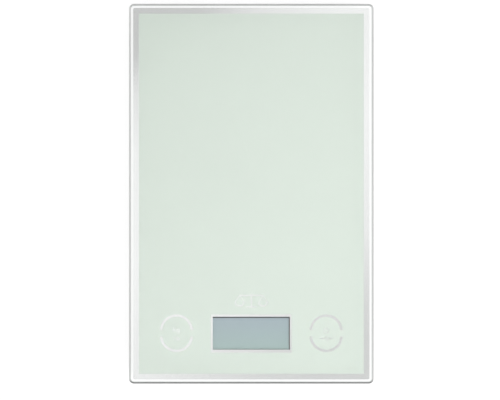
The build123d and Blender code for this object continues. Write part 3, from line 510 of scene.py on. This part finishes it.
# ------------------------------------------------------------------ settings
class ScaleColours(bpy.types.PropertyGroup):
    """Colours that a maker would change."""

    panel: FloatVectorProperty(
        name="Panel ink",
        description="Colour of the ink under the glass",
        subtype="COLOR", default=(0.685, 0.742, 0.68),
    )
    silver: FloatVectorProperty(
        name="Silver ink", description="Tint of the mirror ink", subtype="COLOR", default=(0.93, 0.925, 0.925)
    )
    glass: FloatVectorProperty(
        name="Glass",
        description="Tint of the glass through its length",
        subtype="COLOR", default=(0.62, 0.9, 0.78),
    )
    # The edge's grey is partly the ground glass's own colour and partly painted shade, darkened to stand in
    # for the dark line that refraction shows along the glass's edge.
    edge: FloatVectorProperty(
        name="Glass edge",
        description="Colour of the ground edge",
        subtype="COLOR", default=(0.54, 0.55, 0.54),
    )
    case: FloatVectorProperty(
        name="Case", description="Colour of the case", subtype="COLOR", default=(0.74, 0.75, 0.735)
    )
    foot: FloatVectorProperty(
        name="Feet", description="Colour of the foot caps", subtype="COLOR", default=(0.70, 0.71, 0.70)
    )
    pad: FloatVectorProperty(
        name="Pads", description="Colour of the rubber pads", subtype="COLOR", default=(0.26, 0.27, 0.27)
    )
    film_back: FloatVectorProperty(
        name="Display, back",
        description="Display colour at its back edge",
        subtype="COLOR", default=(0.352, 0.418, 0.468),
    )
    film_front: FloatVectorProperty(
        name="Display, front",
        description="Display colour at its front edge",
        subtype="COLOR", default=(0.365, 0.469, 0.456),
    )
    board: FloatVectorProperty(
        name="Board", description="Colour of the solder mask", subtype="COLOR", default=(0.02, 0.14, 0.06)
    )


class ScaleSizes(bpy.types.PropertyGroup):
    """Sizes of the mesh pieces, in metres."""

    arris: FloatProperty(
        name="Arris", description="Radius of the glass's ground edge", unit="LENGTH", default=0.0011
    )
    corner: FloatProperty(
        name="Glass corner", description="Radius of the glass's corners in plan", unit="LENGTH", default=0.003
    )
    pad_edge: FloatProperty(
        name="Pad edge", description="Rounding of a rubber pad's edge", unit="LENGTH", default=0.0003
    )
    pad_rings: IntProperty(name="Pad rings", description="Grip rings moulded in each pad", default=4)


class ScaleStudio(bpy.types.PropertyGroup):
    """The table, the lights and the camera."""

    glow: FloatProperty(name="Table glow", description="How strongly the table is back-lit", default=0.74)
    table: FloatVectorProperty(
        name="Table", description="Colour of the table's surface", subtype="COLOR", default=(0.32, 0.32, 0.32)
    )
    key: FloatProperty(name="Key", description="Power of the key softbox", subtype="POWER", default=2.8)
    fill: FloatProperty(name="Fill", description="Power of the fill softbox", subtype="POWER", default=0.4)
    room: FloatProperty(name="Room", description="Brightness of the room's soft light", default=1.0)
    width: FloatProperty(
        name="Framed width", description="Width of the picture at the glass", unit="LENGTH", default=0.3066
    )
    distance: FloatProperty(
        name="Camera height", description="Height of the camera over the table", unit="LENGTH", default=1.6
    )


# ------------------------------------------------------------------ operators
class SCALE_OT_platform(bpy.types.Operator):
    """Build the glass platform with rounded, ground edges and dress the inks under it"""

    bl_idname = "kitchen_scale.platform"
    bl_label = "Glass platform"

    def execute(self, context):
        colours = context.scene.scale_colours
        sizes = context.scene.scale_sizes
        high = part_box("glass_platform")[1]
        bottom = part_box("border_print")[1].z + INK_TO_GLASS
        angles = [step / ARC_STEPS * math.pi / 2 for step in range(ARC_STEPS + 1)]
        arcs = [(1 - math.sin(angle), 1 - math.cos(angle)) for angle in angles]
        rings = [(inset * sizes.arris, bottom + rise * sizes.arris) for inset, rise in arcs]
        rings += [(inset * sizes.arris, high.z - drop * sizes.arris) for drop, inset in arcs]
        layers = []
        for inset, z in rings:
            layers.append((rounded_outline(high.x - inset, high.y - inset, sizes.corner - inset), z))
        glass = stacked_mesh("glass_plate", layers)
        glass.data.materials.append(float_glass(tuple(colours.glass)))
        glass.data.materials.append(ground_edge(tuple(colours.edge)))
        for polygon in glass.data.polygons:
            polygon.material_index = 1 if abs(polygon.normal.z) < 0.999 else 0
        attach(glass, "root")
        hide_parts("glass_platform")
        dress(screen_ink(tuple(colours.panel)), "colour_print")
        dress(mirror_ink(tuple(colours.silver)), "border_print", "marks_print")
        dress(foam(), "bonding_tape")
        return {"FINISHED"}


class SCALE_OT_case(bpy.types.Operator):
    """Dress the shell, the carrier, the label and the screws"""

    bl_idname = "kitchen_scale.case"
    bl_label = "Case"

    def execute(self, context):
        colours = context.scene.scale_colours
        plastic = moulded_plastic("case_plastic", tuple(colours.case), 0.22)
        dress(plastic, "lower_shell", "upper_carrier")
        dress(label_film(), "rating_label")
        steel = plated_steel("screw_steel", (0.62, 0.62, 0.64))
        dress(steel, "housing_screws", "board_screws", "load_cell_screws")
        return {"FINISHED"}


class SCALE_OT_feet(bpy.types.Operator):
    """Build the ringed rubber pads and dress the foot caps and their screws"""

    bl_idname = "kitchen_scale.feet"
    bl_label = "Feet"

    def execute(self, context):
        colours = context.scene.scale_colours
        sizes = context.scene.scale_sizes
        cap = moulded_plastic("foot_plastic", tuple(colours.foot), 0.2)
        steel = FINISHES["screw_steel"]
        pad_finish = rubber(tuple(colours.pad))
        for corner in CORNERS:
            low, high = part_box(f"foot_pad_{corner}")
            radius = (high.x - low.x) / 2
            middle = (low + high) / 2
            rings = [(circle_outline(0.6 * MM), low.z)]
            pitch = (radius - 1.2 * MM) / sizes.pad_rings
            for ring in range(sizes.pad_rings):
                start = 0.6 * MM + ring * pitch
                for share, depth in ((0.5, 0.0), (0.62, 0.35), (0.88, 0.35), (1.0, 0.0)):
                    rings.append((circle_outline(start + pitch * share), low.z + depth * MM))
            for step in range(1, 5):
                angle = step / 4 * math.pi / 2
                inset = sizes.pad_edge * (1 - math.sin(angle))
                rings.append((circle_outline(radius - inset), low.z + sizes.pad_edge * (1 - math.cos(angle))))
            rings.append((circle_outline(radius), high.z))
            pad = moved(stacked_mesh(f"ringed_pad_{corner}", rings), (middle.x, middle.y, 0.0))
            pad.data.materials.append(pad_finish)
            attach(pad, "root")
            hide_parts(f"foot_pad_{corner}")
            dress(cap, f"foot_cap_{corner}")
            dress(steel, f"foot_screw_{corner}")
        return {"FINISHED"}


class SCALE_OT_sensors(bpy.types.Operator):
    """Dress the load cells, their gauges and the wiring"""

    bl_idname = "kitchen_scale.sensors"
    bl_label = "Load cells and wiring"

    def execute(self, context):
        cell = plated_steel("cell_steel", (0.68, 0.68, 0.69), (0.05, 1.0, 1.0), 0.25)
        dress(cell, *[f"load_cell_{corner}" for corner in CORNERS])
        dress(striped("gauge_film", (0.5, 0.24, 0.06), (0.72, 0.42, 0.14), 0.3, 0, 0.25), "strain_gauges")
        dress(insulation("white_sealant", (0.82, 0.82, 0.79)), "gauge_sealant")
        red = insulation("red_insulation", (0.5, 0.02, 0.02))
        black = insulation("black_insulation", (0.015, 0.015, 0.015))
        dress(red, "sensor_leads_red", "battery_wire_positive")
        dress(insulation("white_insulation", (0.8, 0.8, 0.78)), "sensor_leads_white")
        dress(black, "sensor_leads_black", "battery_wire_negative")
        dress(solder(), "wire_solder_joints")
        return {"FINISHED"}


class SCALE_OT_display(bpy.types.Operator):
    """Dress the display stack, the board and the touch electrodes"""

    bl_idname = "kitchen_scale.display"
    bl_label = "Display and board"

    def execute(self, context):
        colours = context.scene.scale_colours
        low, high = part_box("lcd_front_film")
        film = display_film(tuple(colours.film_back), tuple(colours.film_front), low.y, high.y)
        dress(film, "lcd_front_film")
        dress(thin_glass(), "lcd_front_glass", "lcd_rear_glass")
        reflector = striped("reflector_film", (0.5, 0.53, 0.51), (0.6, 0.63, 0.61), 0.8, 1, 0.3, 0.6)
        dress(reflector, "lcd_reflector")
        dress(moulded_plastic("black_plastic", (0.035, 0.042, 0.042), 0.18, 0.5), "lcd_holder")
        zebra = striped("zebra_rubber", (0.03, 0.03, 0.035), (0.75, 0.75, 0.73), 0.5, 0)
        dress(zebra, "zebra_strip_front", "zebra_strip_rear")
        dress(circuit_board(tuple(colours.board)), "main_board")
        dress(insulation("black_resin", (0.012, 0.012, 0.013)), "chip_blob")
        chips = striped("chip_parts", (0.16, 0.12, 0.08), (0.6, 0.6, 0.6), 1.6, 0)
        dress(chips, "board_resistors", "board_capacitors")
        copper = striped("electrode_film", (0.62, 0.3, 0.12), (0.72, 0.4, 0.18), 0.7, 1, 0.3, 0.7)
        dress(copper, "touch_electrode_left", "touch_electrode_right")
        return {"FINISHED"}


class SCALE_OT_battery(bpy.types.Operator):
    """Dress the coin cell, its contacts, the hinged door and its latch"""

    bl_idname = "kitchen_scale.battery"
    bl_label = "Battery and door"

    def execute(self, context):
        bright = plated_steel("bright_metal", (0.78, 0.78, 0.77), (1.0, 1.0, 1.0), 0.6)
        dress(bright, "coin_cell", "battery_contact_positive", "battery_contact_negative", "crystal")
        dress(FINISHES["case_plastic"], "battery_door", "battery_door_latch")
        return {"FINISHED"}


class SCALE_OT_stage(bpy.types.Operator):
    """Set up the table, the overhead card, the softboxes, the room light and the camera"""

    bl_idname = "kitchen_scale.stage"
    bl_label = "Studio"

    def execute(self, context):
        studio = context.scene.scale_studio
        scene = context.scene
        scene.view_settings.view_transform = "Standard"
        scene.view_settings.look = "None"
        self.table(studio)
        self.card()
        self.flags()
        self.softbox("key_light", (0.5, -0.42, 0.7), 0.5, studio.key)
        self.softbox("fill_light", (-0.9, 0.5, 0.9), 0.6, studio.fill)
        self.room(scene, studio.room)
        self.camera(scene, studio)
        return {"FINISHED"}

    def table(self, studio):
        """A large table top just under the pads."""
        table = flat_mesh("table", circle_outline(4.0, 96), -TABLE_DROP)
        table.data.materials.append(studio_table(studio.glow, tuple(studio.table)))

    def card(self):
        """A big card over the camera that the silver ink mirrors. The camera itself doesn't see it."""
        tones = (
            (-1.0, 0.62), (-0.82, 0.63), (-0.69, 0.84), (-0.47, 0.965), (-0.2, 0.985),
            (0.0, 1.0), (0.15, 0.97), (0.36, 0.93), (0.43, 0.915), (0.49, 0.865),
            (0.69, 0.755), (0.84, 0.71), (1.0, 0.71),
        )
        height, radius, fade_from = 1.9, 0.45, 0.31
        card = flat_mesh("overhead_card", circle_outline(radius, 96), height)
        card.data.materials.append(card_finish(0.547, 1.53, tones, fade_from, radius))
        card.visible_camera = False
        card.visible_shadow = False

    def flags(self):
        """Dark strips on the table, unseen by the camera, that make the glass's edges read."""
        sides = {"left": (-1, 0, 0.23), "right": (1, 0, 0.2), "rear": (0, 1, 0.26), "front": (0, -1, 0.0)}
        near, far = 0.004, 0.12
        for side, (x, y, tone) in sides.items():
            dark = Finish(f"flag_{side}", base_color=BLACK, specular_ior_level=0.0, emission_strength=1.0)
            dark.set("Emission Color", dark.blend(dark.noise(60.0), (tone,) * 3, (tone + 0.02,) * 3))
            edge = cad_box[1].x if x else cad_box[1].y
            half_along = 0.16 if x else 0.11
            middle, half = edge + (near + far) / 2, (far - near) / 2
            half_x, half_y = (half, half_along) if x else (half_along, half)
            outline = [(-half_x, -half_y), (half_x, -half_y), (half_x, half_y), (-half_x, half_y)]
            flag = moved(flat_mesh(f"flag_{side}", outline, FLAG_LIFT), (x * middle, y * middle, 0.0))
            flag.data.materials.append(dark.material)
            flag.visible_camera = flag.visible_diffuse = flag.visible_shadow = False

    def softbox(self, name, place, size, power):
        """A square area light that faces the scale."""
        light = bpy.data.lights.new(name, "AREA")
        light.shape = "SQUARE"
        light.size = size
        light.energy = power
        lamp = bpy.data.objects.new(name, light)
        lamp.location = place
        lamp.rotation_mode = "QUATERNION"
        lamp.rotation_quaternion = (-Vector(place)).to_track_quat("-Z", "Y")
        bpy.context.scene.collection.objects.link(lamp)

    def room(self, scene, brightness):
        """A room that is bright overhead and greyer towards the horizon."""
        world = bpy.data.worlds.new("room")
        scene.world = world
        world.use_nodes = True
        sky = Nodes(world.node_tree)
        here = sky.node("ShaderNodeTexCoord").outputs["Generated"]
        height = sky.node("ShaderNodeSeparateXYZ", None, {0: here}).outputs["Z"]
        stops = ((0.0, (0.5,) * 3), (0.12, (0.55,) * 3), (0.45, (0.85,) * 3), (0.9, WHITE))
        background = world.node_tree.nodes["Background"]
        ramp = sky.node("ShaderNodeValToRGB", {"stops": stops}, {0: height})
        sky.feed(background.inputs["Color"], ramp.outputs[0])
        sky.feed(background.inputs["Strength"], brightness)

    def camera(self, scene, studio):
        """A long lens straight over the platform, with the display at the bottom of the picture."""
        data = bpy.data.cameras.new("camera")
        data.sensor_width = 36.0
        data.lens = data.sensor_width * (studio.distance - cad_box[1].z) / studio.width
        camera = bpy.data.objects.new("camera", data)
        camera.location = (-0.0008, -0.0039, studio.distance)
        scene.collection.objects.link(camera)
        scene.camera = camera


class SCALE_PT_panel(bpy.types.Panel):
    """The scale's pieces, sizes and colours"""

    bl_label = "Kitchen Scale"
    bl_idname = "SCALE_PT_panel"
    bl_space_type = "VIEW_3D"
    bl_region_type = "UI"
    bl_category = "Kitchen Scale"

    def draw(self, context):
        for group in (context.scene.scale_colours, context.scene.scale_sizes, context.scene.scale_studio):
            box = self.layout.box()
            for key in group.__annotations__:
                box.prop(group, key)
        for operator in OPERATORS:
            self.layout.operator(operator.bl_idname)


OPERATORS = (
    SCALE_OT_platform,
    SCALE_OT_case,
    SCALE_OT_feet,
    SCALE_OT_sensors,
    SCALE_OT_display,
    SCALE_OT_battery,
    SCALE_OT_stage,
)
GROUPS = {"scale_colours": ScaleColours, "scale_sizes": ScaleSizes, "scale_studio": ScaleStudio}


def register():
    """Adds the settings, the operators and the panel to Blender."""
    for group in GROUPS.values():
        bpy.utils.register_class(group)
    for operator in OPERATORS:
        bpy.utils.register_class(operator)
    bpy.utils.register_class(SCALE_PT_panel)
    for name, group in GROUPS.items():
        setattr(bpy.types.Scene, name, PointerProperty(type=group))


def unregister():
    """Takes them out again."""
    for name in GROUPS:
        delattr(bpy.types.Scene, name)
    for listed in (SCALE_PT_panel, *reversed(OPERATORS), *GROUPS.values()):
        bpy.utils.unregister_class(listed)


def main():
    """Builds the whole scale."""
    register()
    bpy.ops.kitchen_scale.platform()
    bpy.ops.kitchen_scale.case()
    bpy.ops.kitchen_scale.feet()
    bpy.ops.kitchen_scale.sensors()
    bpy.ops.kitchen_scale.display()
    bpy.ops.kitchen_scale.battery()
    bpy.ops.kitchen_scale.stage()


if __name__ == "__main__":
    main()
